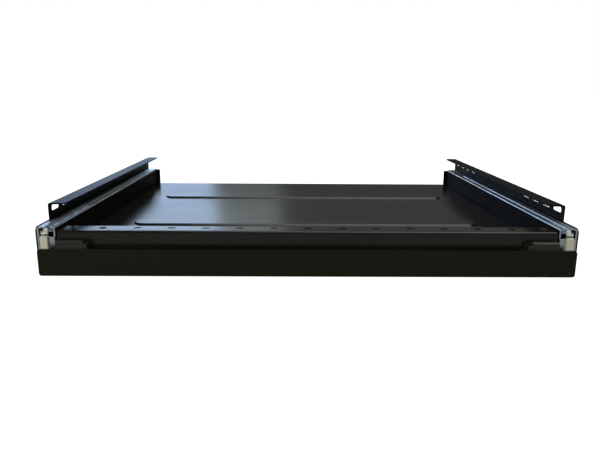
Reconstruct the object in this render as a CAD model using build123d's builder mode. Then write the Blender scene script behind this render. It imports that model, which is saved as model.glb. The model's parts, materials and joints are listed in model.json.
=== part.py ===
from build123d import *
import os

# Sliding tray for a cabinet: a folded sheet-steel tray carried on two three-section ball-bearing
# slides, each on a folded cabinet bracket.  Millimetres.  The origin is the middle of the
# footprint, on the surface it stands on: +X to the right, +Y to the rear, +Z up.

# ---------------------------------------------------------------- overall sizes
overall_width = 500.0        # across the outer faces of the two brackets
slide_length = 400.0         # every slide member, front end to rear end
slide_height = 45.0          # cabinet member and drawer member
slide_depth = 16.5           # bracket plate to tray side: the room one slide takes
fascia_stand_off = 9.7       # front of the fascia to the front ends of the slides
travel_reserve = 20.0        # slide members still overlapping at full extension

# ---------------------------------------------------------------- cabinet bracket
bracket_sheet = 1.5
bracket_bend = 0.8           # inner bend radius
bracket_rise = 16.2          # top of the bracket above the slide
bracket_rear_overhang = 14.7
upright_setback = 31.4       # the tall part of the bracket starts this far behind the slide
bracket_flange = 16.7        # top flange, measured from the outer face
bracket_corner = 5.0
flange_corner = 4.0
bracket_slot_length = 20.0
bracket_slot_width = 6.0
bracket_slot_pitch = 26.0
bracket_slots_per_group = 4
bracket_slot_end = 15.1      # from the end of the upright to the first slot's centre
bracket_slot_drop = 6.1      # from the top of the bracket to the slots' centre line

# ---------------------------------------------------------------- slide members
member_sheet = 1.4
channel_sheet = 1.3
member_bend = 0.6
cabinet_flange = 8.2         # depth of the cabinet member
cabinet_lip = 2.9            # returned edge that keeps the balls in
drawer_flange = 4.9          # depth of the drawer member
end_gap = 1.0                # middle member inside the ends of the other two
front_tab_gap = 0.6          # drawer member's front tab to the front cap
front_tab_trim = 0.9         # drawer member's front tab inside the cap's ends
rear_guard_length = 57.0     # widened flange at the rear of the cabinet member
rear_guard_gap = 0.4
web_slot_length = 12.0
web_slot_width = 5.0

# ---------------------------------------------------------------- balls and cages
outer_ball_radius = 1.6
inner_ball_radius = 1.3
ball_clearance = 0.08
outer_groove_depth = 0.5
inner_groove_depth = 0.4
outer_row_depth = 4.4        # ball centres, measured from the bracket plate
inner_row_inset = 3.6        # ball centres, measured from the tray side
cage_sheet = 0.7
finger_sheet = 1.0
pocket_clearance = 0.05
cage_gap = 0.4               # outer cage to the webs and lips it runs beside
inner_cage_gap = 0.3
ball_pitch = 20.0
cage_end_reserve = 2.5       # cage to the slide's front end at full extension

# ---------------------------------------------------------------- moulded stops
cap_end_inset = 8.1          # cap's ends inside the slide's height
cap_width = 7.1
cap_thickness = 4.0
cap_clearance = 0.3
cap_plug_length = 12.0
cap_inset = 3.5              # cap's outer edge to the bracket plate
cap_corner = 1.5
cap_edge_radius = 0.8
bumper_thickness = 3.0
bumper_foot_length = 10.0
bumper_foot_sheet = 1.4
bumper_foot_inset = 4.2      # foot's outer edge to the bracket plate
bumper_inset = 7.4           # head's outer edge to the bracket plate
bumper_width = 3.5
bumper_height = 4.2
bumper_cap_gap = 2.6         # head to the cap's end
bumper_corner = 0.9
bumper_hole_radius = 0.9
buffer_thickness = 3.5
buffer_block_length = 18.0

# ---------------------------------------------------------------- tray
tray_sheet = 1.0
tray_bend = 1.0
tray_wall_trim = 1.2         # tray side's top edge below the slide's
tray_wall_bottom = 2.0
wall_foot = 12.0             # inward flange along the bottom of each side
wall_rear_return = 5.0
floor_top = 22.0
pan_edge_lift = 3.0          # floor's turned-down side edges, above the bottom of the sides
pan_rear_drop = 12.0
pan_corner_relief = 4.0
front_top = 41.5
front_flange = 20.0
front_end_gap = 0.6          # front upstand to the tray sides
front_hole_radius = 3.5
front_hole_pitch = 32.0
front_hole_setback = 12.0    # row of holes, from the front of the flange
front_hole_margin = 30.0     # at least this from the flange's ends
bead_end_gap = 38.5          # bead to the tray sides
bead_width = 24.0
bead_height = 1.8
bead_taper = 45.0
bead_setback = 118.0         # bead's middle, from the slide's ends

# ---------------------------------------------------------------- fascia and its brackets
fascia_sheet = 1.0
fascia_bend = 1.5
fascia_side_gap = 4.0        # fascia's ends inside the brackets' outer faces
fascia_top = 26.6
fascia_bottom = 0.6
fascia_return = 4.9
fascia_corner = 3.0
hanging_hole_radius = 1.3
hanging_hole_inset = 5.3
hanging_hole_height = 4.3
plug_recess = 0.3
stay_sheet = 1.2             # fascia bracket at each end
stay_width = 28.5
stay_top = 33.5
stay_bottom = 6.0
stay_end_gap = 2.5           # to the outer face of the tray side
stay_notch_radius = 2.3
stay_notch_inset = 2.0

# ---------------------------------------------------------------- fasteners
rivet_radius = 2.0
rivet_head_radius = 3.5
rivet_head_height = 1.0
flush_head_depth = 0.9
web_rivet_head_height = 0.8
bracket_rivet_radius = 2.5
bracket_rivet_head_radius = 4.2
rivet_end_inset = 30.0       # first and last fastener of a row, from the slide's ends
row_count = 4                # fasteners along each slide
upper_rivet_height = 33.0
lower_rivet_height = 12.0
screw_radius = 2.0
screw_hole_clearance = 0.2
screw_head_radius = 4.0
screw_head_height = 2.4
screw_recess_depth = 1.2
screw_recess_width = 2.2
screw_length = 6.4           # under the head
screw_height = 27.5
screw_pitch = 13.0
nut_across_flats = 7.0
nut_height = 3.2

# ---------------------------------------------------------------- worked-out places
slide_travel = slide_length - travel_reserve
bracket_height = slide_height + bracket_rise
slide_front = fascia_stand_off - (fascia_stand_off + slide_length + bracket_rear_overhang) / 2
slide_rear = slide_front + slide_length
slide_middle = (slide_front + slide_rear) / 2
fascia_face = slide_front - fascia_stand_off
bracket_outer = overall_width / 2
bracket_inner = bracket_outer - bracket_sheet
bracket_rear = slide_rear + bracket_rear_overhang
upright_front = slide_front + upright_setback
upright_middle = (upright_front + bracket_rear) / 2
slide_centre = slide_height / 2
wall_outer = bracket_inner - slide_depth
wall_inner = wall_outer - tray_sheet
pan_outer = wall_inner
front_half_width = wall_inner - front_end_gap
tray_wall_top = slide_height - tray_wall_trim
half = slide_height / 2
member_inner = half - member_sheet
drawer_web = slide_depth - member_sheet
inner_row_depth = slide_depth - inner_row_inset
seam = slide_depth / 2
outer_row = member_inner + outer_groove_depth - outer_ball_radius - ball_clearance
inner_row = member_inner + inner_groove_depth - inner_ball_radius - ball_clearance
outer_channel_half = outer_row - outer_ball_radius - ball_clearance + outer_groove_depth
inner_channel_half = inner_row - inner_ball_radius - ball_clearance + inner_groove_depth
middle_length = slide_length - 2 * end_gap
middle_front = slide_front + end_gap
cage_web = member_sheet + cage_gap
outer_channel_edge = cage_web + cage_sheet + cage_gap
inner_cage_web = drawer_web - inner_cage_gap
inner_channel_edge = inner_cage_web - cage_sheet - inner_cage_gap
cage_front = slide_front + slide_travel / 4 + cage_end_reserve
cage_length = slide_length - 2 * (cage_front - slide_front)
balls_per_row = int(cage_length / ball_pitch)
lip_edge = cabinet_flange - member_sheet
outer_finger_edge = lip_edge - cage_gap
inner_finger_edge = cabinet_flange + cage_gap
outer_finger_mid = (member_inner + outer_channel_half) / 2
inner_finger_mid = (member_inner + inner_channel_half) / 2
rivet_row_length = slide_length - 2 * rivet_end_inset
rivet_pitch = rivet_row_length / (row_count - 1)


# ---------------------------------------------------------------- shared shapes
def across(y):
    """Plane of a slide section at y: x runs inwards from the bracket plate, y runs up."""
    return Plane(origin=(bracket_inner, y, slide_centre), x_dir=(-1, 0, 0), z_dir=(0, 1, 0))


def cross(y):
    """Plane across the whole tray at y: x runs to the left, y runs up, extrudes to the rear."""
    return Plane(origin=(0, y, 0), x_dir=(-1, 0, 0), z_dir=(0, 1, 0))


def side_on(x):
    """Plane seen from the side at x: x runs to the rear, y runs up, extrudes to the right."""
    return Plane.YZ.offset(x)


def folded(points, radii, sheet):
    """Section of a folded sheet: a line with rounded corners, thickened to its left."""
    with BuildSketch() as section:
        with BuildLine():
            FilletPolyline(*points, radius=radii)
            offset(amount=sheet, side=Side.LEFT)
        make_face()
    return section.sketch


def save(part, name):
    part.label = name
    export_step(part, f"parts/{name}.step")


def save_pair(part, name):
    """Writes a right-hand piece and its mirror image on the left."""
    save(part, f"right_{name}")
    save(mirror(part, about=Plane.YZ), f"left_{name}")


def along_slide(start, x, z, axis=(1, 0, 0)):
    """Planes at each fastener of a row along the slide, facing the axis."""
    places = [start + rivet_end_inset + i * rivet_pitch for i in range(row_count)]
    return [Plane(origin=(x, y, z), x_dir=(0, 1, 0), z_dir=axis) for y in places]


os.makedirs("parts", exist_ok=True)

# ---------------------------------------------------------------- cabinet bracket
# An upright plate the slide is fixed to, taller behind its front step, with a top flange
# folded inwards and a group of slots near each end of the tall part.
upright_length = bracket_rear - upright_front
slot_line = bracket_height - bracket_slot_drop
slot_group = bracket_slot_pitch * (bracket_slots_per_group - 1)
slot_group_middle = upright_length / 2 - bracket_slot_end - slot_group / 2
bracket_outer_bend = bracket_bend + bracket_sheet
flange_section = folded(
    [
        (bracket_flange - bracket_outer, bracket_height),
        (-bracket_outer, bracket_height),
        (-bracket_outer, slide_height),
    ],
    bracket_outer_bend,
    bracket_sheet,
)

with BuildPart() as bracket:
    with BuildSketch(side_on(bracket_inner)):
        with BuildLine():
            Polyline(
                (slide_front, 0),
                (bracket_rear, 0),
                (bracket_rear, bracket_height - bracket_outer_bend),
                (upright_front, bracket_height - bracket_outer_bend),
                (upright_front, slide_height),
                (slide_front, slide_height),
                close=True,
            )
        make_face()
    extrude(amount=bracket_sheet)
    with BuildSketch(cross(upright_front)):
        add(flange_section)
    extrude(amount=upright_length)
    corners = bracket.edges().filter_by(Axis.X)
    fillet(corners.sort_by(Axis.Y)[:2].sort_by(Axis.Z)[-1:], radius=bracket_corner)
    flange_edges = bracket.edges().filter_by(Axis.Z).group_by(Axis.X)[0]
    fillet(flange_edges, radius=flange_corner)
    with BuildSketch(side_on(bracket_inner)):
        for group_middle in (-slot_group_middle, slot_group_middle):
            with Locations((upright_middle + group_middle, slot_line)):
                with GridLocations(bracket_slot_pitch, 1, bracket_slots_per_group, 1):
                    SlotOverall(bracket_slot_length, bracket_slot_width)
    extrude(amount=bracket_sheet, mode=Mode.SUBTRACT)
    for place in along_slide(slide_front, bracket_outer, slide_centre, (-1, 0, 0)):
        with BuildSketch(place):
            Circle(bracket_rivet_radius)
        extrude(amount=bracket_sheet, mode=Mode.SUBTRACT)
        with BuildSketch(place):
            Circle(bracket_rivet_head_radius)
        with BuildSketch(place.offset(flush_head_depth)):
            Circle(bracket_rivet_radius)
        loft(mode=Mode.SUBTRACT)
save_pair(bracket.part, "bracket")

# ---------------------------------------------------------------- slide: cabinet member
# A C-shaped rail whose edges are turned in over the outer ball rows.  At the rear its flanges
# are widened into guards over the gap beside the drawer member.
outer_bend = member_bend + member_sheet
cabinet_section = folded(
    [
        (cabinet_flange, half - cabinet_lip),
        (cabinet_flange, half),
        (0, half),
        (0, -half),
        (cabinet_flange, -half),
        (cabinet_flange, cabinet_lip - half),
    ],
    outer_bend,
    member_sheet,
)
guard_depth = slide_depth - drawer_flange - rear_guard_gap

with BuildPart() as cabinet_member:
    with BuildSketch(across(slide_front)):
        add(cabinet_section)
    extrude(amount=slide_length)
    with BuildSketch(across(slide_rear - rear_guard_length)):
        for side in (-1, 1):
            with Locations(((lip_edge + guard_depth) / 2, side * (half - member_sheet / 2))):
                Rectangle(guard_depth - lip_edge, member_sheet)
    extrude(amount=rear_guard_length)
    with BuildSketch(across(slide_front)):
        for side in (-1, 1):
            with Locations((outer_row_depth, side * outer_row)):
                Circle(outer_ball_radius + ball_clearance)
    extrude(amount=slide_length, mode=Mode.SUBTRACT)
    with BuildSketch(side_on(bracket_inner)):
        with Locations((slide_middle, slide_centre)):
            with GridLocations(rivet_pitch, 1, row_count - 1, 1):
                SlotOverall(web_slot_length, web_slot_width)
    extrude(amount=-member_sheet, mode=Mode.SUBTRACT)
    for place in along_slide(slide_front, bracket_inner - member_sheet, slide_centre):
        with BuildSketch(place):
            Circle(bracket_rivet_head_radius)
        with BuildSketch(place.offset(flush_head_depth)):
            Circle(bracket_rivet_radius)
        loft(mode=Mode.SUBTRACT)
        with BuildSketch(place):
            Circle(bracket_rivet_radius)
        extrude(amount=member_sheet, mode=Mode.SUBTRACT)
save_pair(cabinet_member.part, "cabinet_member")

# Rivets set flush in both faces, through bracket and cabinet member.
with BuildPart() as bracket_rivets:
    for place in along_slide(slide_front, bracket_inner - member_sheet, slide_centre):
        with BuildSketch(place):
            Circle(bracket_rivet_head_radius)
        with BuildSketch(place.offset(flush_head_depth)):
            Circle(bracket_rivet_radius)
        loft()
        with BuildSketch(place):
            Circle(bracket_rivet_radius)
        extrude(amount=member_sheet + bracket_sheet)
    for place in along_slide(slide_front, bracket_outer, slide_centre, (-1, 0, 0)):
        with BuildSketch(place):
            Circle(bracket_rivet_head_radius)
        with BuildSketch(place.offset(flush_head_depth)):
            Circle(bracket_rivet_radius)
        loft()
save_pair(bracket_rivets.part, "bracket_rivets")

# Moulded stop behind the middle member, with a block plugged into each outer raceway.
buffer_block_low = outer_channel_half + cap_clearance
with BuildPart() as rear_buffer:
    with BuildSketch(across(slide_rear)):
        with Locations(((member_sheet + guard_depth) / 2, 0)):
            Rectangle(guard_depth - member_sheet, slide_height - 2 * member_sheet)
    extrude(amount=buffer_thickness)
    with BuildSketch(across(slide_rear - buffer_block_length)):
        for side in (-1, 1):
            with Locations(
                ((member_sheet + lip_edge) / 2, side * (buffer_block_low + member_inner) / 2)
            ):
                Rectangle(
                    lip_edge - member_sheet - 2 * member_bend, member_inner - buffer_block_low
                )
    extrude(amount=buffer_block_length)
    fillet(rear_buffer.faces().sort_by(Axis.Y)[-1].edges(), radius=cap_edge_radius)
save_pair(rear_buffer.part, "rear_buffer")


# ---------------------------------------------------------------- slide: middle member
# Two channels riveted back to back; each flange has a groove for its ball row.
def channel_section(edge, web, reach, row_depth, row, radius):
    """Half-open channel from its flange edges to its web, with the ball groove taken out."""
    start = reach if web < edge else -reach
    path = [(edge, start), (web, start), (web, -start), (edge, -start)]
    with BuildSketch() as section:
        add(folded(path, member_bend + channel_sheet, channel_sheet))
        for side in (-1, 1):
            with Locations((row_depth, side * row)):
                Circle(radius + ball_clearance, mode=Mode.SUBTRACT)
    return section.sketch


outer_channel_section = channel_section(
    outer_channel_edge, seam, outer_channel_half, outer_row_depth, outer_row, outer_ball_radius
)
inner_channel_section = channel_section(
    inner_channel_edge, seam, inner_channel_half, inner_row_depth, inner_row, inner_ball_radius
)
seam_x = bracket_inner - seam

with BuildPart() as outer_channel:
    with BuildSketch(across(middle_front)):
        add(outer_channel_section)
    extrude(amount=middle_length)
    for place in along_slide(slide_front, seam_x, slide_centre):
        with BuildSketch(place):
            Circle(rivet_radius)
        extrude(amount=channel_sheet, mode=Mode.SUBTRACT)
save_pair(outer_channel.part, "middle_outer_channel")

with BuildPart() as inner_channel:
    with BuildSketch(across(middle_front)):
        add(inner_channel_section)
    extrude(amount=middle_length)
    for place in along_slide(slide_front, seam_x, slide_centre, (-1, 0, 0)):
        with BuildSketch(place):
            Circle(rivet_radius)
        extrude(amount=channel_sheet, mode=Mode.SUBTRACT)
save_pair(inner_channel.part, "middle_inner_channel")

with BuildPart() as middle_rivets:
    for place in along_slide(slide_front, seam_x - channel_sheet, slide_centre):
        with BuildSketch(place):
            Circle(rivet_radius)
        extrude(amount=2 * channel_sheet)
        with BuildSketch(place, place.offset(2 * channel_sheet + web_rivet_head_height)):
            Circle(rivet_head_radius)
        extrude(amount=-web_rivet_head_height)
save_pair(middle_rivets.part, "middle_rivets")

# Cap over the front end of the outer channel, with a plug between its flanges.
cap_height = slide_height - 2 * cap_end_inset
cap_edge = cap_inset + cap_width
tab_edge = cap_edge + front_tab_gap
with BuildPart() as front_cap:
    with BuildSketch(across(slide_front - cap_clearance - cap_thickness)):
        with Locations(((cap_inset + cap_edge) / 2, 0)):
            RectangleRounded(cap_width, cap_height, cap_corner)
    extrude(amount=cap_thickness)
    fillet(front_cap.faces().sort_by(Axis.Y)[0].edges(), radius=cap_edge_radius)
    with BuildSketch(across(slide_front - cap_clearance)):
        with Locations(((cap_inset + seam - channel_sheet) / 2, 0)):
            Rectangle(seam - channel_sheet - cap_inset, cap_height)
    extrude(amount=cap_clearance + end_gap + cap_plug_length)
save_pair(front_cap.part, "front_cap")

# Small bumpers on the same end, above and below the cap, each with a foot in the channel.
bumper_foot_low = outer_channel_half - channel_sheet - bumper_foot_sheet
bumper_foot_edge = seam - channel_sheet - member_bend
bumper_middle = cap_height / 2 + bumper_cap_gap + bumper_height / 2
bumper_places = [(bumper_inset + bumper_width / 2, side * bumper_middle) for side in (-1, 1)]
foot_middle = bumper_foot_low + bumper_foot_sheet / 2
foot_places = [((bumper_foot_inset + bumper_foot_edge) / 2, side * foot_middle) for side in (-1, 1)]
web_middle = (bumper_inset + bumper_corner + bumper_foot_edge) / 2
web_places = [(web_middle, side * foot_middle) for side in (-1, 1)]
foot_front = slide_front - cap_clearance - bumper_thickness / 2
with BuildPart() as front_bumpers:
    with BuildSketch(across(slide_front - cap_clearance - bumper_thickness)):
        with Locations(*bumper_places):
            RectangleRounded(bumper_width, bumper_height, bumper_corner)
    extrude(amount=bumper_thickness)
    with BuildSketch(across(foot_front)):
        with Locations(*foot_places):
            Rectangle(bumper_foot_edge - bumper_foot_inset, bumper_foot_sheet)
    extrude(amount=middle_front + bumper_foot_length - foot_front)
    with BuildSketch(across(foot_front)):
        with Locations(*web_places):
            Rectangle(bumper_inset + bumper_corner - bumper_foot_edge, bumper_foot_sheet)
    extrude(amount=slide_front - cap_clearance - foot_front)
    with BuildSketch(across(slide_front - cap_clearance - bumper_thickness)):
        with Locations(*bumper_places):
            Circle(bumper_hole_radius)
    extrude(amount=bumper_thickness / 2, mode=Mode.SUBTRACT)
save_pair(front_bumpers.part, "front_bumpers")

# ---------------------------------------------------------------- slide: balls and cages
# Each cage is a C-shaped strip whose two fingers lie between the flanges and hold the balls
# in round pockets.
ball_places = [
    cage_front + cage_length / 2 + (i - (balls_per_row - 1) / 2) * ball_pitch
    for i in range(balls_per_row)
]


def cage_part(web_near, finger_near, finger_far, finger_mid, row_depth, radius):
    """Cage: web beside a member, fingers above and below, a pocket for every ball."""
    with BuildPart() as cage:
        with BuildSketch(across(cage_front)):
            with Locations((web_near + cage_sheet / 2, 0)):
                Rectangle(cage_sheet, 2 * finger_mid + finger_sheet)
            for side in (-1, 1):
                with Locations(((finger_near + finger_far) / 2, side * finger_mid)):
                    Rectangle(finger_far - finger_near, finger_sheet)
        extrude(amount=cage_length)
        with BuildSketch(Plane.XY.offset(slide_centre - half)):
            with Locations(*[(bracket_inner - row_depth, y) for y in ball_places]):
                Circle(radius + pocket_clearance)
        extrude(amount=slide_height, mode=Mode.SUBTRACT)
    return cage.part


def ball_set(row_depth, row, radius):
    """The balls of one cage, in an upper and a lower row."""
    with BuildPart() as balls:
        with Locations(
            *[
                (bracket_inner - row_depth, y, slide_centre + side * row)
                for y in ball_places
                for side in (-1, 1)
            ]
        ):
            Sphere(radius)
    return balls.part


outer_cage = cage_part(
    cage_web, cage_web, outer_finger_edge, outer_finger_mid, outer_row_depth, outer_ball_radius
)
save_pair(outer_cage, "outer_cage")
save_pair(ball_set(outer_row_depth, outer_row, outer_ball_radius), "outer_balls")

inner_cage = cage_part(
    inner_cage_web - cage_sheet,
    inner_finger_edge,
    inner_cage_web,
    inner_finger_mid,
    inner_row_depth,
    inner_ball_radius,
)
save_pair(inner_cage, "inner_cage")
save_pair(ball_set(inner_row_depth, inner_row, inner_ball_radius), "inner_balls")

# ---------------------------------------------------------------- slide: drawer member
# A shallow C-shaped rail fixed to the tray side.  Its front end is folded across the middle
# member as a tab.
drawer_section = folded(
    [
        (slide_depth - drawer_flange, -half),
        (slide_depth, -half),
        (slide_depth, half),
        (slide_depth - drawer_flange, half),
    ],
    outer_bend,
    member_sheet,
)

with BuildPart() as drawer_member:
    with BuildSketch(across(slide_front)):
        add(drawer_section)
    extrude(amount=slide_length)
    with BuildSketch(across(slide_front - member_sheet)):
        with Locations(((tab_edge + slide_depth) / 2, 0)):
            Rectangle(slide_depth - tab_edge, cap_height - 2 * front_tab_trim)
    extrude(amount=member_sheet)
    tab_edges = drawer_member.faces().sort_by(Axis.Y)[0].edges().filter_by(Axis.Z)
    fillet(tab_edges.sort_by(Axis.X)[:1], radius=member_bend)
    with BuildSketch(across(slide_front)):
        for side in (-1, 1):
            with Locations((inner_row_depth, side * inner_row)):
                Circle(inner_ball_radius + ball_clearance)
    extrude(amount=slide_length, mode=Mode.SUBTRACT)
    with BuildSketch(side_on(wall_outer)):
        with Locations((slide_middle, slide_centre)):
            with GridLocations(rivet_pitch, 1, row_count - 1, 1):
                SlotOverall(web_slot_length, web_slot_width)
    extrude(amount=member_sheet, mode=Mode.SUBTRACT)
    for height in (lower_rivet_height, upper_rivet_height):
        for place in along_slide(slide_front, wall_outer, height):
            with BuildSketch(place):
                Circle(rivet_radius)
            extrude(amount=member_sheet, mode=Mode.SUBTRACT)
save_pair(drawer_member.part, "drawer_member")

# ---------------------------------------------------------------- tray side
tray_outer_bend = tray_bend + tray_sheet
side_section = folded(
    [
        (-wall_outer, tray_wall_top),
        (-wall_outer, tray_wall_bottom),
        (wall_foot - wall_outer, tray_wall_bottom),
    ],
    tray_outer_bend,
    tray_sheet,
)
rear_return_section = folded(
    [
        (wall_outer, slide_rear - 2 * tray_outer_bend),
        (wall_outer, slide_rear),
        (wall_outer - wall_rear_return, slide_rear),
    ],
    tray_outer_bend,
    tray_sheet,
)

with BuildPart() as tray_side:
    with BuildSketch(cross(slide_front)):
        add(side_section)
    extrude(amount=slide_length - pan_corner_relief)
    with BuildSketch(Plane.XY.offset(tray_wall_bottom + pan_corner_relief)):
        add(rear_return_section)
    extrude(amount=tray_wall_top - tray_wall_bottom - pan_corner_relief)
    for place in along_slide(slide_front, wall_inner, upper_rivet_height):
        with BuildSketch(place):
            Circle(rivet_head_radius)
        with BuildSketch(place.offset(flush_head_depth)):
            Circle(rivet_radius)
        loft(mode=Mode.SUBTRACT)
    for height in (lower_rivet_height, upper_rivet_height):
        for place in along_slide(slide_front, wall_inner, height):
            with BuildSketch(place):
                Circle(rivet_radius)
            extrude(amount=tray_sheet, mode=Mode.SUBTRACT)
save_pair(tray_side.part, "tray_side")

# Flush rivets above the floor, through tray side and drawer member.
with BuildPart() as slide_rivets:
    for place in along_slide(slide_front, wall_inner, upper_rivet_height):
        with BuildSketch(place):
            Circle(rivet_head_radius)
        with BuildSketch(place.offset(flush_head_depth)):
            Circle(rivet_radius)
        loft()
        with BuildSketch(place):
            Circle(rivet_radius)
        extrude(amount=tray_sheet + member_sheet)
save_pair(slide_rivets.part, "slide_rivets")

# Round-head rivets under the floor, through its turned-down edge as well.
with BuildPart() as pan_rivets:
    for place in along_slide(slide_front, wall_inner - tray_sheet, lower_rivet_height):
        with BuildSketch(place):
            Circle(rivet_radius)
        extrude(amount=2 * tray_sheet + member_sheet)
        with BuildSketch(place):
            Circle(rivet_head_radius)
        extrude(amount=-rivet_head_height)
    head_rims = pan_rivets.edges().filter_by(GeomType.CIRCLE).group_by(Axis.X)[0]
    fillet(head_rims, radius=rivet_head_height / 2)
save_pair(pan_rivets.part, "pan_rivets")

# ---------------------------------------------------------------- tray floor
# One folded sheet: floor with two raised beads, turned down at the sides and the rear, and
# at the front folded up and back into a flange with a row of holes.
pan_edge_section = folded(
    [
        (pan_outer, tray_wall_bottom + pan_edge_lift),
        (pan_outer, floor_top),
        (-pan_outer, floor_top),
        (-pan_outer, tray_wall_bottom + pan_edge_lift),
    ],
    tray_outer_bend,
    tray_sheet,
)
pan_front_section = folded(
    [
        (slide_middle, floor_top),
        (slide_front + tray_sheet, floor_top),
        (slide_front + tray_sheet, front_top - tray_sheet),
        (slide_front + front_flange, front_top - tray_sheet),
    ],
    tray_bend,
    tray_sheet,
)
pan_rear_section = folded(
    [
        (slide_rear, floor_top - pan_rear_drop),
        (slide_rear, floor_top),
        (slide_middle, floor_top),
    ],
    tray_outer_bend,
    tray_sheet,
)
rear_half_width = wall_outer - wall_rear_return - tray_sheet
bead_rows = (slide_front + bead_setback, slide_rear - bead_setback)
bead_length = 2 * (wall_inner - bead_end_gap)
front_hole_count = int(2 * (front_half_width - front_hole_margin) / front_hole_pitch) + 1
stay_middle = wall_outer - stay_end_gap - stay_width / 2
screw_places = [
    side * stay_middle + offset * screw_pitch / 2 for side in (-1, 1) for offset in (-1, 1)
]

with BuildPart() as floor_pan:
    with BuildSketch(cross(slide_front + pan_corner_relief)):
        add(pan_edge_section)
    extrude(amount=slide_length - 2 * pan_corner_relief)
    with BuildSketch(side_on(-front_half_width)):
        add(pan_front_section)
    extrude(amount=2 * front_half_width)
    with BuildSketch(side_on(-rear_half_width)):
        add(pan_rear_section)
    extrude(amount=2 * rear_half_width)
    flange_corners = floor_pan.edges().filter_by(Axis.Z).group_by(Axis.Z)[-1]
    fillet(flange_corners, radius=tray_outer_bend)
    with BuildSketch(Plane.XY.offset(front_top)):
        with Locations((0, slide_front + front_hole_setback)):
            with GridLocations(front_hole_pitch, 1, front_hole_count, 1):
                Circle(front_hole_radius)
    extrude(amount=-tray_sheet, mode=Mode.SUBTRACT)
    with BuildSketch(Plane.XY.offset(floor_top)):
        with Locations(*[(0, y) for y in bead_rows]):
            SlotOverall(bead_length, bead_width)
    extrude(amount=bead_height, taper=bead_taper)
    with BuildSketch(Plane.XY.offset(floor_top - tray_sheet)):
        with Locations(*[(0, y) for y in bead_rows]):
            SlotOverall(bead_length - tray_sheet, bead_width - tray_sheet)
    extrude(amount=bead_height, taper=bead_taper, mode=Mode.SUBTRACT)
    for place in along_slide(slide_front, wall_inner - tray_sheet, lower_rivet_height):
        with BuildSketch(place):
            Circle(rivet_radius)
        extrude(amount=tray_sheet, mode=Mode.SUBTRACT)
    for place in along_slide(slide_front, tray_sheet - wall_inner, lower_rivet_height, (-1, 0, 0)):
        with BuildSketch(place):
            Circle(rivet_radius)
        extrude(amount=tray_sheet, mode=Mode.SUBTRACT)
    with BuildSketch(cross(slide_front)):
        with Locations(*[(x, screw_height) for x in screw_places]):
            Circle(screw_radius + screw_hole_clearance)
    extrude(amount=tray_sheet, mode=Mode.SUBTRACT)
save(floor_pan.part, "floor_pan")

# ---------------------------------------------------------------- fascia and its brackets
fascia_width = overall_width - 2 * fascia_side_gap
fascia_back = fascia_face + fascia_sheet
fascia_section = folded(
    [
        (fascia_face, fascia_top),
        (fascia_face, fascia_bottom),
        (fascia_face + fascia_return, fascia_bottom),
    ],
    fascia_bend + fascia_sheet,
    fascia_sheet,
)
fascia_height = fascia_top - fascia_bottom
hanging_x = fascia_width / 2 - hanging_hole_inset
hanging_places = [(side * hanging_x, hanging_hole_height) for side in (-1, 1)]
with BuildPart() as fascia:
    with BuildSketch(side_on(-fascia_width / 2)):
        add(fascia_section)
    extrude(amount=fascia_width)
    with BuildSketch(cross(fascia_face)):
        with Locations((0, (fascia_top + fascia_bottom) / 2)):
            RectangleRounded(fascia_width, fascia_height, fascia_corner)
    extrude(amount=fascia_return, mode=Mode.INTERSECT)
    with BuildSketch(cross(fascia_face)):
        with Locations(*hanging_places):
            Circle(hanging_hole_radius)
    extrude(amount=fascia_sheet, mode=Mode.SUBTRACT)
save(fascia.part, "fascia")

# Plugs pushed into the two small holes from behind.
with BuildPart() as fascia_plugs:
    with BuildSketch(cross(fascia_face + plug_recess)):
        with Locations(*hanging_places):
            Circle(hanging_hole_radius)
    extrude(amount=fascia_sheet - plug_recess)
save(fascia_plugs.part, "fascia_plugs")

stay_section = folded(
    [
        (slide_front, floor_top + tray_outer_bend),
        (slide_front, stay_top),
        (fascia_back, stay_top),
        (fascia_back, stay_bottom),
    ],
    stay_sheet + tray_bend,
    stay_sheet,
)
with BuildPart() as fascia_bracket:
    with BuildSketch(side_on(stay_middle - stay_width / 2)):
        add(stay_section)
    extrude(amount=stay_width)
    with BuildSketch(Plane.XZ.offset(-slide_front)):
        with Locations((stay_middle - stay_width / 2 + stay_notch_inset, stay_top)):
            Circle(stay_notch_radius)
    extrude(amount=fascia_stand_off - fascia_sheet, mode=Mode.SUBTRACT)
    with BuildSketch(Plane.XZ.offset(-slide_front)):
        for offset_side in (-1, 1):
            with Locations((stay_middle + offset_side * screw_pitch / 2, screw_height)):
                Circle(screw_radius + screw_hole_clearance)
    extrude(amount=stay_sheet, mode=Mode.SUBTRACT)
save_pair(fascia_bracket.part, "fascia_bracket")

# Screws from inside the tray into nuts behind the fascia brackets.
with BuildPart() as fascia_bracket_screws:
    with BuildSketch(Plane.XZ.offset(-slide_front - tray_sheet)):
        with Locations(*[(x, screw_height) for x in screw_places]):
            Circle(screw_radius)
    extrude(amount=screw_length)
    with BuildSketch(cross(slide_front + tray_sheet)):
        with Locations(*[(x, screw_height) for x in screw_places]):
            Circle(screw_head_radius)
    extrude(amount=screw_head_height)
    head_tops = fascia_bracket_screws.faces().filter_by(Axis.Y).group_by(Axis.Y)[-1]
    fillet(head_tops.edges(), radius=screw_head_height / 2)
    with BuildSketch(cross(slide_front + tray_sheet + screw_head_height)):
        with Locations(*[(x, screw_height) for x in screw_places]):
            Rectangle(screw_head_radius, screw_recess_width / 2)
            Rectangle(screw_recess_width / 2, screw_head_radius)
    extrude(amount=-screw_recess_depth, mode=Mode.SUBTRACT)
save(fascia_bracket_screws.part, "fascia_bracket_screws")

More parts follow.
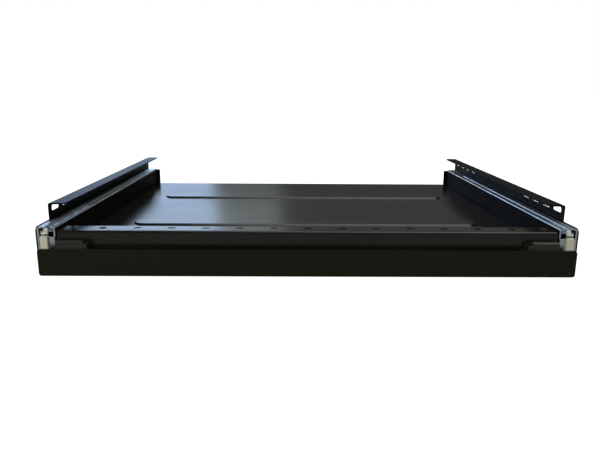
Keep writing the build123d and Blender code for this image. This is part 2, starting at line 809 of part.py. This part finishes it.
with BuildPart() as fascia_bracket_nuts:
    with BuildSketch(Plane.XZ.offset(stay_sheet - slide_front)):
        with Locations(*[(x, screw_height) for x in screw_places]):
            RegularPolygon(nut_across_flats / 2, 6, major_radius=False)
            Circle(screw_radius, mode=Mode.SUBTRACT)
    extrude(amount=nut_height)
save(fascia_bracket_nuts.part, "fascia_bracket_nuts")
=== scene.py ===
import json
import math

import bmesh
import bpy
import numpy as np
from bpy.props import FloatProperty, FloatVectorProperty, IntProperty, PointerProperty
from bpy.types import Operator, Panel, PropertyGroup
from mathutils import Matrix, Vector


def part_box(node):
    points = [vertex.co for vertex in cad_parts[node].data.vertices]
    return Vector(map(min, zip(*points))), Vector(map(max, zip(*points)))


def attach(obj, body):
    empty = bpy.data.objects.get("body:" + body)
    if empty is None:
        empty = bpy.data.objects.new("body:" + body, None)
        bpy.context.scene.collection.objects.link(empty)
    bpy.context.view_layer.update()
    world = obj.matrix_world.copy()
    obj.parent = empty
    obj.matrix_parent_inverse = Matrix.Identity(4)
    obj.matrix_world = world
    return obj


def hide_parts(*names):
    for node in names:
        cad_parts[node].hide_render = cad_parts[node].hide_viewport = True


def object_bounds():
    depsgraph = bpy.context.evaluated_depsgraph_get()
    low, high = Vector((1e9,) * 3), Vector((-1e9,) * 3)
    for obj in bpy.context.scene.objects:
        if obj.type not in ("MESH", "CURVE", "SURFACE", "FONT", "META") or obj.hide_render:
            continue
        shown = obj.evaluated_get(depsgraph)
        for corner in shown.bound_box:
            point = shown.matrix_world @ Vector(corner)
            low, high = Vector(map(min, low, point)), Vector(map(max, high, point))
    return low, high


bl_info = {
    "name": "Sliding cabinet tray",
    "version": (1, 0, 0),
    "blender": (4, 5, 0),
    "location": "View3D > Sidebar > Tray",
    "description": "Finishes and fine pieces of a sliding tray on ball-bearing slides",
    "category": "Object",
}

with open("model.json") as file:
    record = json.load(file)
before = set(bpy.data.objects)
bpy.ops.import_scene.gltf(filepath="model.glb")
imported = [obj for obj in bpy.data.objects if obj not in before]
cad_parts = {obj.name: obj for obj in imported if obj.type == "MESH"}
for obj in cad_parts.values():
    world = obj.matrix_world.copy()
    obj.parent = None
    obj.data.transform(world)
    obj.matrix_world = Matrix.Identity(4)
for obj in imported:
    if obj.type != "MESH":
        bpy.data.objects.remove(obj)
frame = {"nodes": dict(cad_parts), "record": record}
cad_low, cad_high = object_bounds()

MM = 0.001
SIDES = ("left", "right")
INWARDS = {"left": (1.0, 0.0, 0.0), "right": (-1.0, 0.0, 0.0)}
UPWARDS = (0.0, 0.0, 1.0)

SEAM_GAP = 1e-6                    # points closer than this are one point, in metres
FLAT_ANGLE = math.radians(0.4)     # facets that meet flatter than this are one face

BUFFER_COLOUR = (0.10, 0.105, 0.11)
GREASE_COLOUR = (0.62, 0.60, 0.56)
BALL_COLOUR = (0.84, 0.85, 0.87)

# key of the finish: material name, roughness setting, gloss, tone of the coat's colour; the tone
# lightens or darkens the one black coat part by part, which is painted light and shade
COATS = {
    "black_bracket": ("black_bracket_coat", "bracket_roughness", 0.05, 0.6),
    "black_tray": ("black_tray_coat", "tray_roughness", 0.5, 1.0),
    # the stays' coat is lightened: painted highlight standing in for the light catching their top
    "fascia_bracket": ("black_stay_coat", "side_roughness", 0.8, 1.8),
    # the tray sides' coat is darkened: painted shade on the upright walls
    "tray_side": ("black_side_coat", "side_roughness", 0.04, 0.4),
    "black_fascia": ("black_fascia_coat", "bracket_roughness", 0.12, 1.7),
    "black_fastener": ("black_fastener_coat", "tray_roughness", 0.5, 1.0),
}

# ending of a node's name: finish it wears in place of its slot's; these are darkened and lightened
# copies of the black coat, painted shade on the tray sides and rivets and painted light on the
# fascia stays
PAINTED_LIGHT_AND_SHADE_COAT = {
    "tray_side": "tray_side",
    "slide_rivets": "tray_side",
    "fascia_bracket": "fascia_bracket",
}

SENSOR_WIDTH = 36.0                # in millimetres, as Blender takes it
NEAREST_VIEW = 0.01
FLOOR_GREY = (0.4, 0.4, 0.4, 1.0)
FLOOR_ROUGHNESS = 0.8
WHITE = (1.0, 1.0, 1.0, 1.0)
ROOM_COLOUR = (0.85, 0.88, 0.95, 1.0)
ROOM_STRENGTH = 0.07

# name, place, size, power setting, colour, whether it shows in the metal
SOFTBOXES = (
    ("overhead_softbox", (0.35, -0.1, 1.5), (1.6, 1.4), "key_power", (0.96, 0.98, 1.0), True),
    ("window_softbox", (-1.5, 1.9, 0.62), (2.6, 0.74), "window_power", (0.46, 0.65, 0.98), True),
    ("rear_softbox", (0.1, 2.5, 0.8), (2.8, 0.5), "rear_power", (1.0, 0.88, 0.8), True),
    ("middle_softbox", (-0.62, 2.5, 0.8), (1.1, 0.5), "middle_power", (0.78, 0.95, 0.95), True),
    ("front_softbox", (-0.8, -2.0, 0.7), (1.6, 1.0), "fill_power", (1.0, 0.95, 0.84), False),
)


# ------------------------------------------------------------------ settings
class TRAY_PG_finish(PropertyGroup):
    """Colours and surface qualities of the finishes."""

    coat_colour: FloatVectorProperty(
        name="Powder coat", description="Base colour of the black powder coat",
        default=(0.0078, 0.0070, 0.0048), size=3, subtype="COLOR", min=0.0, max=1.0,
    )
    tray_roughness: FloatProperty(
        name="Tray roughness", description="Roughness of the semi-gloss coat on the tray",
        default=0.22, min=0.0, max=1.0, subtype="FACTOR",
    )
    side_roughness: FloatProperty(
        name="Side roughness", description="Roughness of the coat on the tray's upright sides",
        default=0.5, min=0.0, max=1.0, subtype="FACTOR",
    )
    bracket_roughness: FloatProperty(
        name="Bracket roughness", description="Roughness of the satin coat on the brackets",
        default=0.36, min=0.0, max=1.0, subtype="FACTOR",
    )
    peel_size: FloatProperty(
        name="Orange peel", description="Distance between the ripples of the powder coat",
        default=0.9 * MM, min=0.1 * MM, max=10 * MM, unit="LENGTH",
    )
    zinc_colour: FloatVectorProperty(
        name="Zinc", description="Base colour of the bright zinc plating",
        default=(0.84, 0.89, 0.91), size=3, subtype="COLOR", min=0.0, max=1.0,
    )
    zinc_tint: FloatVectorProperty(
        name="Passivation", description="Faint blue tint left by the passivation",
        default=(0.52, 0.65, 0.72), size=3, subtype="COLOR", min=0.0, max=1.0,
    )
    zinc_roughness: FloatProperty(
        name="Zinc roughness", description="Roughness of the rolled and plated steel",
        default=0.37, min=0.0, max=1.0, subtype="FACTOR",
    )
    cap_colour: FloatVectorProperty(
        name="Cap", description="Colour of the cream moulded caps",
        default=(0.66, 0.66, 0.55), size=3, subtype="COLOR", min=0.0, max=1.0,
    )
    bumper_colour: FloatVectorProperty(
        name="Bumper", description="Colour of the small white bumpers",
        default=(0.80, 0.84, 0.84), size=3, subtype="COLOR", min=0.0, max=1.0,
    )


class TRAY_PG_pieces(PropertyGroup):
    """Sizes of the fine pieces."""

    sheet_edge: FloatProperty(
        name="Sheet edge", description="Rounding that the powder coat leaves on a cut edge",
        default=0.22 * MM, min=0.0, unit="LENGTH",
    )
    rail_edge: FloatProperty(
        name="Rail edge", description="Rounding on the edges of the rolled strip",
        default=0.16 * MM, min=0.0, unit="LENGTH",
    )
    moulded_edge: FloatProperty(
        name="Moulded edge", description="Rounding on the moulded caps, bumpers and buffers",
        default=0.3 * MM, min=0.0, unit="LENGTH",
    )
    bead_edge: FloatProperty(
        name="Bead edge", description="Rounding of the pressed beads in the floor",
        default=1.1 * MM, min=0.0, unit="LENGTH",
    )
    bead_inset: FloatProperty(
        name="Bead inset", description="The beads lie further than this inside the floor's rim",
        default=30.0 * MM, min=0.0, unit="LENGTH",
    )
    fold_angle: FloatProperty(
        name="Fold angle", description="Edges sharper than this are rounded",
        default=math.radians(28.0), subtype="ANGLE", unit="ROTATION",
    )
    edge_steps: IntProperty(
        name="Edge steps", description="Faces across a rounded edge", default=2, min=1, max=4,
    )
    ball_rings: IntProperty(
        name="Ball rings", description="Faces of a ball from pole to pole", default=10, min=4,
    )
    ball_steps: IntProperty(
        name="Ball steps", description="Faces around a ball", default=16, min=6,
    )
    shank_radius: FloatProperty(
        name="Rivet shank", description="Radius of the rivets' shanks",
        default=2.0 * MM, min=0.0, unit="LENGTH",
    )
    head_radius: FloatProperty(
        name="Rivet head", description="Radius of the rivets' round heads",
        default=3.5 * MM, min=0.0, unit="LENGTH",
    )
    head_rise: FloatProperty(
        name="Head rise", description="Height of the rivets' round heads",
        default=1.0 * MM, min=0.0, unit="LENGTH",
    )
    rivet_steps: IntProperty(
        name="Rivet steps", description="Faces around a rivet", default=40, min=8,
    )


class TRAY_PG_stage(PropertyGroup):
    """Camera, floor and light."""

    camera_place: FloatVectorProperty(
        name="Camera", description="Where the camera stands",
        default=(-0.0140, -0.7119, 0.1679), size=3, subtype="TRANSLATION", unit="LENGTH",
    )
    camera_pitch: FloatProperty(
        name="Pitch", description="How far the camera looks down",
        default=math.radians(13.265), subtype="ANGLE", unit="ROTATION",
    )
    camera_yaw: FloatProperty(
        name="Yaw", description="How far the camera is turned to the right",
        default=math.radians(0.687), subtype="ANGLE", unit="ROTATION",
    )
    camera_roll: FloatProperty(
        name="Roll", description="How far the camera leans",
        default=math.radians(0.397), subtype="ANGLE", unit="ROTATION",
    )
    lens: FloatProperty(
        name="Lens", description="Focal length on a 36 mm wide sensor", default=34.28, min=10.0,
    )
    floor_size: FloatProperty(
        name="Floor", description="Width of the floor", default=30.0, unit="LENGTH",
    )
    key_power: FloatProperty(
        name="Key", description="Power of the overhead softbox", default=15.0, unit="POWER",
    )
    window_power: FloatProperty(
        name="Window", description="Power of the cool softbox behind on the left",
        default=11.0, unit="POWER",
    )
    rear_power: FloatProperty(
        name="Rear", description="Power of the dim wide softbox behind", default=0.65, unit="POWER",
    )
    middle_power: FloatProperty(
        name="Middle", description="Power of the softbox between the two behind",
        default=1.1, unit="POWER",
    )
    fill_power: FloatProperty(
        name="Fill", description="Power of the warm softbox in front", default=27.0, unit="POWER",
    )


class TRAY_PG_settings(PropertyGroup):
    """All settings of the tray."""

    finish: PointerProperty(type=TRAY_PG_finish)
    pieces: PointerProperty(type=TRAY_PG_pieces)
    stage: PointerProperty(type=TRAY_PG_stage)


def finish_settings():
    """Settings of the finishes."""
    return bpy.context.scene.tray_settings.finish


def piece_settings():
    """Settings of the fine pieces."""
    return bpy.context.scene.tray_settings.pieces


# ------------------------------------------------------------------ node helpers
def new_material(name):
    """New node material: returns it with its nodes, its links and its shader node."""
    material = bpy.data.materials.new(name)
    material.use_nodes = True
    tree = material.node_tree
    return material, tree.nodes, tree.links, tree.nodes["Principled BSDF"]


def noise(nodes, links, scale, detail=2.0, stretch=(1.0, 1.0, 1.0)):
    """Noise on Object coordinates, stretched along the axes; scale is in ripples a metre."""
    place = nodes.new("ShaderNodeTexCoord")
    mapping = nodes.new("ShaderNodeMapping")
    mapping.inputs["Scale"].default_value = stretch
    links.new(place.outputs["Object"], mapping.inputs["Vector"])
    texture = nodes.new("ShaderNodeTexNoise")
    texture.inputs["Scale"].default_value = scale
    texture.inputs["Detail"].default_value = detail
    links.new(mapping.outputs["Vector"], texture.inputs["Vector"])
    return texture.outputs["Fac"]


def ramp(nodes, links, factor, stops):
    """Colours along a factor: stops are (place, colour)."""
    node = nodes.new("ShaderNodeValToRGB")
    elements = node.color_ramp.elements
    for index, (place, colour) in enumerate(stops):
        element = elements[index] if index < 2 else elements.new(place)
        element.position = place
        element.color = (*colour, 1.0)
    links.new(factor, node.inputs["Fac"])
    return node.outputs["Color"]


def spread(nodes, links, factor, low, high):
    """Maps a factor from 0..1 to low..high."""
    node = nodes.new("ShaderNodeMapRange")
    node.inputs["To Min"].default_value = low
    node.inputs["To Max"].default_value = high
    links.new(factor, node.inputs["Value"])
    return node.outputs["Result"]


def relief(nodes, links, heights, distance):
    """Bump chain: each (height, strength) is laid over the one before."""
    normal = None
    for height, strength in heights:
        node = nodes.new("ShaderNodeBump")
        node.inputs["Strength"].default_value = strength
        node.inputs["Distance"].default_value = distance
        links.new(height, node.inputs["Height"])
        if normal is not None:
            links.new(normal, node.inputs["Normal"])
        normal = node.outputs["Normal"]
    return normal


def shade(colour, factor):
    """Colour times a factor, no brighter than 1."""
    return tuple(min(1.0, c * factor) for c in colour)


# ------------------------------------------------------------------ finishes
def powder_coat(name, roughness, gloss, tone):
    """Black powder coat: soft orange peel, fine specks, and a roughness that wanders a little; the
    tone lightens or darkens it part by part, which is painted light and shade.
    """
    finish = finish_settings()
    # tone: painted light and shade, the same black coat made lighter or darker on this part
    base = shade(finish.coat_colour, tone)
    material, nodes, links, shader = new_material(name)
    broad = noise(nodes, links, scale=14.0, detail=3.0)
    specks = noise(nodes, links, scale=5200.0, detail=1.0)
    peel = noise(nodes, links, scale=1.0 / finish.peel_size, detail=1.5)
    colour = ramp(nodes, links, specks, [(0.35, shade(base, 0.82)), (0.72, shade(base, 1.3))])
    links.new(colour, shader.inputs["Base Color"])
    rough = spread(nodes, links, broad, roughness - 0.05, roughness + 0.06)
    links.new(rough, shader.inputs["Roughness"])
    normal = relief(nodes, links, [(peel, 0.03), (specks, 0.02)], distance=0.05 * MM)
    links.new(normal, shader.inputs["Normal"])
    shader.inputs["Specular IOR Level"].default_value = gloss
    return material


def zinc_plate(name, darkness=1.0, roughness=None):
    """Bright zinc plating on rolled strip: fine lines along the strip and a faint blue cloud."""
    finish = finish_settings()
    rough = finish.zinc_roughness if roughness is None else roughness
    material, nodes, links, shader = new_material(name)
    cloud = noise(nodes, links, scale=60.0, detail=4.0)
    lines = noise(nodes, links, scale=3500.0, stretch=(1.0, 0.012, 1.0))
    light = shade(finish.zinc_colour, darkness)
    tint = shade(finish.zinc_tint, darkness)
    colour = ramp(nodes, links, cloud, [(0.3, tint), (0.62, light)])
    links.new(colour, shader.inputs["Base Color"])
    links.new(spread(nodes, links, lines, rough - 0.08, rough + 0.1), shader.inputs["Roughness"])
    normal = relief(nodes, links, [(lines, 0.12)], distance=0.03 * MM)
    links.new(normal, shader.inputs["Normal"])
    shader.inputs["Metallic"].default_value = 1.0
    return material


def chrome_steel(name):
    """Polished balls with a trace of grease and very fine scratches."""
    material, nodes, links, shader = new_material(name)
    grease = noise(nodes, links, scale=900.0, detail=3.0)
    scratches = noise(nodes, links, scale=9000.0, stretch=(1.0, 0.1, 1.0))
    colour = ramp(nodes, links, grease, [(0.3, GREASE_COLOUR), (0.7, BALL_COLOUR)])
    links.new(colour, shader.inputs["Base Color"])
    links.new(spread(nodes, links, grease, 0.08, 0.24), shader.inputs["Roughness"])
    normal = relief(nodes, links, [(scratches, 0.05)], distance=0.02 * MM)
    links.new(normal, shader.inputs["Normal"])
    shader.inputs["Metallic"].default_value = 1.0
    return material


def moulded_plastic(name, colour, roughness):
    """Injection-moulded nylon: faint flow clouds and the fine grain of the mould."""
    material, nodes, links, shader = new_material(name)
    flow = noise(nodes, links, scale=180.0, detail=4.0, stretch=(1.0, 1.0, 0.35))
    grain = noise(nodes, links, scale=4200.0)
    tone = ramp(nodes, links, flow, [(0.3, shade(colour, 0.86)), (0.66, colour)])
    links.new(tone, shader.inputs["Base Color"])
    rough = spread(nodes, links, grain, roughness - 0.06, roughness + 0.08)
    links.new(rough, shader.inputs["Roughness"])
    normal = relief(nodes, links, [(grain, 0.1), (flow, 0.05)], distance=0.05 * MM)
    links.new(normal, shader.inputs["Normal"])
    shader.inputs["Subsurface Weight"].default_value = 0.08
    shader.inputs["Subsurface Scale"].default_value = 1.0 * MM
    return material


def make_finishes():
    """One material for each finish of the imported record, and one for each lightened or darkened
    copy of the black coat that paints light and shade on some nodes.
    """
    finish = finish_settings()
    coats = {
        key: powder_coat(name, getattr(finish, roughness), gloss, tone)
        for key, (name, roughness, gloss, tone) in COATS.items()
    }
    return {
        **coats,
        "zinc_rail": zinc_plate("zinc_rail_plating"),
        "zinc_cage": zinc_plate("zinc_cage_plating", darkness=0.85, roughness=0.34),
        "zinc_fastener": zinc_plate("zinc_fastener_plating", darkness=0.9),
        "chrome_ball": chrome_steel("chrome_ball_steel"),
        "cream_nylon": moulded_plastic("cream_cap_nylon", finish.cap_colour, 0.42),
        "white_nylon": moulded_plastic("white_bumper_nylon", finish.bumper_colour, 0.35),
        "grey_nylon": moulded_plastic("grey_buffer_nylon", BUFFER_COLOUR, 0.5),
    }


def slot_of(node):
    """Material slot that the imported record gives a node."""
    return next(s["material_slot"] for s in frame["record"]["subparts"] if s["node"] == node)


def finish_of(node):
    """Key of a node's finish: the painted light and shade coat that its name's ending picks, or else
    its slot.
    """
    for ending, key in PAINTED_LIGHT_AND_SHADE_COAT.items():
        if node.endswith(ending):
            return key
    return slot_of(node)


def body_of(node):
    """Moving body that a node belongs to."""
    bodies = frame["record"]["behaviour"]["bodies"]
    return next(body for body, nodes in bodies.items() if node in nodes)


def place_piece(name, mesh, nodes):
    """Links a finished mesh as a piece that stands for CAD nodes and moves with their body."""
    piece = bpy.data.objects.new(name, mesh)
    bpy.context.scene.collection.objects.link(piece)
    mesh.materials.clear()
    mesh.materials.append(frame["nodes"][nodes[0]].data.materials[0])
    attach(piece, body_of(nodes[0]))
    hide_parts(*nodes)
    return piece


# ------------------------------------------------------------------ pieces with rounded edges
def merged_mesh(node):
    """Copy of a CAD piece's mesh with its seams joined and its flat facets merged.

    Returns an empty mesh, and the copy as a bmesh that the caller writes to it and frees.
    """
    mesh = bpy.data.meshes.new(node + "_fine")
    cells = bmesh.new()
    cells.from_mesh(frame["nodes"][node].data)
    bmesh.ops.remove_doubles(cells, verts=cells.verts, dist=SEAM_GAP)
    bmesh.ops.dissolve_limit(
        cells, angle_limit=FLAT_ANGLE, verts=cells.verts, edges=cells.edges
    )
    return mesh, cells


def round_edges(node, width, soft_width=0.0, soft_box=None):
    """Piece with its sharp edges rounded; edges inside the soft box get the larger rounding."""
    settings = piece_settings()
    widest = max(width, soft_width)
    mesh, cells = merged_mesh(node)
    weight = cells.edges.layers.float.get("bevel_weight_edge")
    if weight is None:
        weight = cells.edges.layers.float.new("bevel_weight_edge")
    for edge in cells.edges:
        if edge.is_manifold and edge.calc_face_angle() > settings.fold_angle:
            middle = (edge.verts[0].co + edge.verts[1].co) / 2
            soft = soft_box is not None and all(
                soft_box[0][i] < middle[i] < soft_box[1][i] for i in (0, 1)
            )
            edge[weight] = (soft_width if soft else width) / widest
    for face in cells.faces:
        face.smooth = True
    cells.to_mesh(mesh)
    cells.free()
    if "custom_normal" in mesh.attributes:
        mesh.attributes.remove(mesh.attributes["custom_normal"])
    piece = place_piece(node + "_fine", mesh, [node])
    bevel = piece.modifiers.new("rounded_edges", "BEVEL")
    bevel.limit_method = "WEIGHT"
    bevel.width = widest
    bevel.segments = settings.edge_steps
    bevel.harden_normals = True
    return piece


def both_sides(*names):
    """Left and right node of each name."""
    return [f"{side}_{name}" for name in names for side in SIDES]


class TRAY_OT_sheet_pieces(Operator):
    """Brackets, tray sides, fascia and its brackets with soft coated edges"""

    bl_idname = "tray.sheet_pieces"
    bl_label = "Sheet pieces"

    def execute(self, context):
        for node in [*both_sides("bracket", "tray_side", "fascia_bracket"), "fascia"]:
            round_edges(node, piece_settings().sheet_edge)
        return {"FINISHED"}


class TRAY_OT_floor(Operator):
    """Tray floor with soft edges and rounded pressed beads"""

    bl_idname = "tray.floor"
    bl_label = "Tray floor"

    def execute(self, context):
        settings = piece_settings()
        low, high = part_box("floor_pan")
        inset = Vector((settings.bead_inset, settings.bead_inset, 0.0))
        round_edges(
            "floor_pan", settings.sheet_edge, settings.bead_edge, (low + inset, high - inset)
        )
        return {"FINISHED"}


class TRAY_OT_rails(Operator):
    """Slide members with rolled edges"""

    bl_idname = "tray.rails"
    bl_label = "Slide members"

    def execute(self, context):
        names = ("cabinet_member", "drawer_member", "middle_outer_channel", "middle_inner_channel")
        for node in both_sides(*names):
            round_edges(node, piece_settings().rail_edge)
        return {"FINISHED"}


class TRAY_OT_moulded_pieces(Operator):
    """Caps, bumpers and buffers with moulded edges"""

    bl_idname = "tray.moulded_pieces"
    bl_label = "Moulded pieces"

    def execute(self, context):
        for node in both_sides("front_cap", "front_bumpers", "rear_buffer"):
            round_edges(node, piece_settings().moulded_edge)
        return {"FINISHED"}


# ------------------------------------------------------------------ turned pieces
def turned_surface(radii, heights, centres, axis, steps):
    """Turned shapes as one mesh.

    A point at angle t on ring i lies at centre + h_i * a + r_i * (cos t * u + sin t * v), where
    a is the axis and u, v span the plane across it.  The first and last rings are single poles.
    """
    radii, heights = np.asarray(radii, float), np.asarray(heights, float)
    a = np.asarray(axis, float)
    u = np.roll(a, 1)
    v = np.cross(a, u)
    angle = np.linspace(0.0, 2 * np.pi, steps, endpoint=False)
    circle = np.cos(angle)[:, None] * u + np.sin(angle)[:, None] * v
    rings = heights[1:-1, None, None] * a + radii[1:-1, None, None] * circle
    one = np.vstack([rings.reshape(-1, 3), heights[0] * a, heights[-1] * a])
    count = len(radii) - 2
    i, j = np.meshgrid(np.arange(count - 1), np.arange(steps), indexing="ij")
    here, after = i * steps + j, i * steps + (j + 1) % steps
    quads = np.stack([here, after, after + steps, here + steps], -1).reshape(-1, 4)
    j = np.arange(steps)
    following = (j + 1) % steps
    first, last = count * steps, count * steps + 1
    start = np.stack([np.full(steps, first), following, j], -1)
    top = (count - 1) * steps
    end = np.stack([np.full(steps, last), top + j, top + following], -1)
    points, faces = [], []
    for index, centre in enumerate(centres):
        points.append(one + np.asarray(centre, float))
        shift = index * len(one)
        faces += (quads + shift).tolist() + (start + shift).tolist() + (end + shift).tolist()
    return np.vstack(points), faces


def smooth_mesh(name, points, faces):
    """Mesh of the points and faces, shaded smooth."""
    mesh = bpy.data.meshes.new(name)
    mesh.from_pydata(points.tolist(), [], faces)
    mesh.shade_smooth()
    mesh.update()
    return mesh


def island_boxes(node):
    """Middle and half size of each separate solid of a CAD node."""
    cells = bmesh.new()
    cells.from_mesh(frame["nodes"][node].data)
    bmesh.ops.remove_doubles(cells, verts=cells.verts, dist=SEAM_GAP)
    left, boxes = set(cells.verts), []
    while left:
        front, island = [left.pop()], []
        while front:
            vertex = front.pop()
            island.append(vertex.co.copy())
            for edge in vertex.link_edges:
                other = edge.other_vert(vertex)
                if other in left:
                    left.discard(other)
                    front.append(other)
        places = np.array(island)
        boxes.append(((places.min(0) + places.max(0)) / 2, (places.max(0) - places.min(0)) / 2))
    cells.free()
    return boxes


class TRAY_OT_balls(Operator):
    """Smooth balls in the four cages"""

    bl_idname = "tray.balls"
    bl_label = "Balls"

    def execute(self, context):
        settings = piece_settings()
        for node in both_sides("outer_balls", "inner_balls"):
            boxes = island_boxes(node)
            radius = max(half.max() for middle, half in boxes)
            turn = np.linspace(0.0, np.pi, settings.ball_rings + 1)
            points, faces = turned_surface(
                radius * np.sin(turn), -radius * np.cos(turn), [middle for middle, half in boxes],
                UPWARDS, settings.ball_steps,
            )
            place_piece(node + "_fine", smooth_mesh(node + "_fine", points, faces), [node])
        return {"FINISHED"}


class TRAY_OT_rivets(Operator):
    """Round-head rivets under the floor"""

    bl_idname = "tray.rivets"
    bl_label = "Rivets"

    def execute(self, context):
        settings = piece_settings()
        shank, head, rise = settings.shank_radius, settings.head_radius, settings.head_rise
        soft = settings.rail_edge
        for side in SIDES:
            node = f"{side}_pan_rivets"
            boxes = island_boxes(node)
            reach = boxes[0][1][0]
            under = reach - rise
            turn = np.linspace(0.0, np.pi / 2, settings.ball_rings)
            dome_radii = (head - soft) * np.cos(turn[:-1])
            dome_heights = under + soft + (rise - soft) * np.sin(turn[:-1])
            radii = [0.0, shank, shank, shank, head - soft, head, head, *dome_radii, 0.0]
            heights = [-reach, -reach, soft - reach, under, under, under + soft / 2, under + soft,
                       *dome_heights, reach]
            points, faces = turned_surface(
                radii, heights, [middle for middle, half in boxes], INWARDS[side],
                settings.rivet_steps,
            )
            place_piece(node + "_fine", smooth_mesh(node + "_fine", points, faces), [node])
        return {"FINISHED"}


class TRAY_OT_finishes(Operator):
    """Gives every CAD piece its finish"""

    bl_idname = "tray.finishes"
    bl_label = "Finishes"

    def execute(self, context):
        finishes = make_finishes()
        for name, obj in frame["nodes"].items():
            obj.data.materials.clear()
            obj.data.materials.append(finishes[finish_of(name)])
        return {"FINISHED"}


# ------------------------------------------------------------------ stage
def camera_axes(stage):
    """Right, up and forward of a camera that pitches, yaws and then rolls."""
    pitch, yaw, roll = stage.camera_pitch, stage.camera_yaw, stage.camera_roll
    forward = Vector(
        (math.sin(yaw) * math.cos(pitch), math.cos(yaw) * math.cos(pitch), -math.sin(pitch))
    )
    right = Vector((math.cos(yaw), -math.sin(yaw), 0.0))
    up = right.cross(forward)
    rolled_right = right * math.cos(roll) + up * math.sin(roll)
    rolled_up = up * math.cos(roll) - right * math.sin(roll)
    return rolled_right, rolled_up, forward


def make_camera(stage):
    """The camera, at its place and turned along its axes."""
    right, up, forward = camera_axes(stage)
    data = bpy.data.cameras.new("camera")
    data.sensor_width = SENSOR_WIDTH
    data.sensor_fit = "HORIZONTAL"
    data.lens = stage.lens
    data.clip_start = NEAREST_VIEW
    camera = bpy.data.objects.new("camera", data)
    turn = Matrix((right, up, -forward)).transposed().to_4x4()
    camera.matrix_world = Matrix.Translation(Vector(stage.camera_place)) @ turn
    bpy.context.scene.collection.objects.link(camera)
    bpy.context.scene.camera = camera


def make_floor(stage):
    """A plain floor under the slides: it glows white to the camera only and is grey in mirrors."""
    half = stage.floor_size / 2
    mesh = bpy.data.meshes.new("floor")
    corners = [(-half, -half, 0), (half, -half, 0), (half, half, 0), (-half, half, 0)]
    mesh.from_pydata(corners, [], [(0, 1, 2, 3)])
    material, nodes, links, shader = new_material("pale_floor")
    shader.inputs["Base Color"].default_value = FLOOR_GREY
    shader.inputs["Roughness"].default_value = FLOOR_ROUGHNESS
    shader.inputs["Emission Color"].default_value = WHITE
    path = nodes.new("ShaderNodeLightPath")
    links.new(path.outputs["Is Camera Ray"], shader.inputs["Emission Strength"])
    mesh.materials.append(material)
    floor = bpy.data.objects.new("floor", mesh)
    floor.visible_diffuse = False
    bpy.context.scene.collection.objects.link(floor)


def make_softbox(name, place, target, size, power, colour, mirrored):
    """A rectangular light at a place, turned to a target; mirrored ones show in the metal."""
    data = bpy.data.lights.new(name, "AREA")
    data.shape = "RECTANGLE"
    data.size, data.size_y = size
    data.energy = power
    data.color = colour
    light = bpy.data.objects.new(name, data)
    light.visible_glossy = mirrored
    direction = Vector(target) - Vector(place)
    turn = direction.to_track_quat("-Z", "Y").to_matrix().to_4x4()
    light.matrix_world = Matrix.Translation(Vector(place)) @ turn
    bpy.context.scene.collection.objects.link(light)


def make_world():
    """Plain white backdrop for the camera, and a dim even room for the light."""
    world = bpy.data.worlds.new("studio")
    bpy.context.scene.world = world
    world.use_nodes = True
    nodes, links = world.node_tree.nodes, world.node_tree.links
    room = nodes["Background"]
    room.inputs["Color"].default_value = ROOM_COLOUR
    room.inputs["Strength"].default_value = ROOM_STRENGTH
    backdrop = nodes.new("ShaderNodeBackground")
    backdrop.inputs["Color"].default_value = WHITE
    backdrop.inputs["Strength"].default_value = 1.0
    path = nodes.new("ShaderNodeLightPath")
    mix = nodes.new("ShaderNodeMixShader")
    links.new(path.outputs["Is Camera Ray"], mix.inputs["Fac"])
    links.new(room.outputs["Background"], mix.inputs[1])
    links.new(backdrop.outputs["Background"], mix.inputs[2])
    links.new(mix.outputs["Shader"], nodes["World Output"].inputs["Surface"])


class TRAY_OT_stage(Operator):
    """Makes the camera, the plain floor and the soft light"""

    bl_idname = "tray.stage"
    bl_label = "Stage"

    def execute(self, context):
        stage = context.scene.tray_settings.stage
        make_camera(stage)
        make_floor(stage)
        make_world()
        middle = (cad_low + cad_high) / 2
        for name, place, size, power, colour, mirrored in SOFTBOXES:
            make_softbox(name, place, middle, size, getattr(stage, power), colour, mirrored)
        context.scene.view_settings.view_transform = "Standard"
        return {"FINISHED"}


# ------------------------------------------------------------------ panel and running
OPERATORS = (
    TRAY_OT_finishes, TRAY_OT_sheet_pieces, TRAY_OT_floor, TRAY_OT_rails, TRAY_OT_moulded_pieces,
    TRAY_OT_balls, TRAY_OT_rivets, TRAY_OT_stage,
)


class TRAY_PT_panel(Panel):
    """Lists the pieces of the tray"""

    bl_idname = "TRAY_PT_panel"
    bl_label = "Sliding cabinet tray"
    bl_space_type = "VIEW_3D"
    bl_region_type = "UI"
    bl_category = "Tray"

    def draw(self, context):
        for operator in OPERATORS:
            self.layout.operator(operator.bl_idname)


CLASSES = (
    TRAY_PG_finish, TRAY_PG_pieces, TRAY_PG_stage, TRAY_PG_settings, *OPERATORS, TRAY_PT_panel,
)


def register():
    """Registers the classes and the settings."""
    for cls in CLASSES:
        bpy.utils.register_class(cls)
    bpy.types.Scene.tray_settings = PointerProperty(type=TRAY_PG_settings)


def unregister():
    """Takes the settings and the classes away again."""
    del bpy.types.Scene.tray_settings
    for cls in reversed(CLASSES):
        bpy.utils.unregister_class(cls)


def main():
    """Builds the whole scene."""
    register()
    bpy.ops.tray.finishes()
    bpy.ops.tray.sheet_pieces()
    bpy.ops.tray.floor()
    bpy.ops.tray.rails()
    bpy.ops.tray.moulded_pieces()
    bpy.ops.tray.balls()
    bpy.ops.tray.rivets()
    bpy.ops.tray.stage()


if __name__ == "__main__":
    main()
